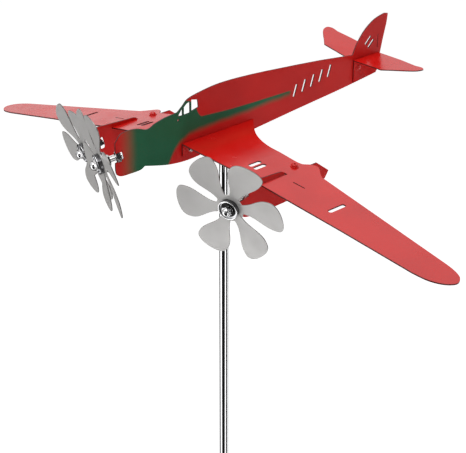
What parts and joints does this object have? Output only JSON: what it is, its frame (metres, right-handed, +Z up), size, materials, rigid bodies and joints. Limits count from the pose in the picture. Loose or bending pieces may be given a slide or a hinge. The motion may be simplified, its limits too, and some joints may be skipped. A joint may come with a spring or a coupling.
{
  "type": "aeroplane wind spinner",
  "caption": "Sheet-metal aeroplane weathervane on a pole, with bladed propellers on its nose and under both wings that spin in the wind.",
  "frame": {"origin": "on the pole's axis, where the ground spike's straight shank begins, just above its point", "axes": "+Z up along the pole, the aeroplane's nose points along -X, starboard is +Y"},
  "size_m": [0.4573, 0.6722, 1.2005],
  "materials": {
    "pole_metal": "bright drawn tube, mirror-like with fine lengthwise draw lines",
    "turned_steel": "turned, satin",
    "washer_brass": "plain",
    "body_paint": "semi-gloss red with an airbrushed dark green nose and side flash",
    "red_paint": "semi-gloss red",
    "weld": "rough bead",
    "ball_steel": "polished",
    "zinc_steel": "bright zinc plate",
    "chrome_nut": "polished",
    "bearing_steel": "ground",
    "propeller_metal": "satin silver",
    "hub_chrome": "polished",
    "bearing_shield": "black"
  },
  "bodies": {
    "pole": {"ground_spike": "pole_metal", "lower_coupler": "turned_steel", "lower_pole": "pole_metal", "upper_coupler": "turned_steel", "upper_pole": "pole_metal", "pivot_spindle": "turned_steel", "thrust_washer": "washer_brass"},
    "airframe": {"fuselage": "body_paint", "port_wing": "red_paint", "starboard_wing": "red_paint", "port_nacelle": "red_paint", "starboard_nacelle": "red_paint", "port_tailplane": "red_paint", "starboard_tailplane": "red_paint", "pivot_sleeve": "turned_steel", "thrust_plug": "turned_steel", "thrust_ball": "ball_steel", "sleeve_welds": "weld", "wing_root_screws": "zinc_steel", "wing_root_nuts": "zinc_steel", "nacelle_screws": "red_paint", "nacelle_washers": "red_paint", "nacelle_nuts": "zinc_steel", "tailplane_rivets": "red_paint", "nose_axle": "zinc_steel", "port_axle": "zinc_steel", "starboard_axle": "zinc_steel", "captive_nuts": "zinc_steel", "lock_nuts": "zinc_steel", "rear_spacers": "zinc_steel", "bearing_inner_rings": "bearing_steel", "front_washers": "zinc_steel", "acorn_nuts": "chrome_nut"},
    "nose_propeller": {"nose_prop": "propeller_metal", "nose_hub_cup": "hub_chrome", "nose_bearing_ring": "bearing_steel", "nose_bearing_balls": "ball_steel", "nose_bearing_shields": "bearing_shield"},
    "port_propeller": {"port_prop": "propeller_metal", "port_hub_cup": "hub_chrome", "port_bearing_ring": "bearing_steel", "port_bearing_balls": "ball_steel", "port_bearing_shields": "bearing_shield"},
    "starboard_propeller": {"starboard_prop": "propeller_metal", "starboard_hub_cup": "hub_chrome", "starboard_bearing_ring": "bearing_steel", "starboard_bearing_balls": "ball_steel", "starboard_bearing_shields": "bearing_shield"}
  },
  "joints": [
    {"name": "yaw", "type": "hinge", "parent": "pole", "child": "airframe", "pos_m": [0, 0, 1.0772], "axis": [0, 0, 1], "continuous": true},
    {"name": "nose_spin", "type": "hinge", "parent": "airframe", "child": "nose_propeller", "pos_m": [-0.16364, 0.00685, 1.1024], "axis": [-0.8969, 0.3807, -0.225], "continuous": true},
    {"name": "port_spin", "type": "hinge", "parent": "airframe", "child": "port_propeller", "pos_m": [-0.10645, -0.11601, 1.07454], "axis": [-0.9403, -0.2696, -0.2079], "continuous": true},
    {"name": "starboard_spin", "type": "hinge", "parent": "airframe", "child": "starboard_propeller", "pos_m": [-0.09604, 0.11343, 1.06639], "axis": [-0.9187, 0.2462, -0.309], "continuous": true}
  ]
}
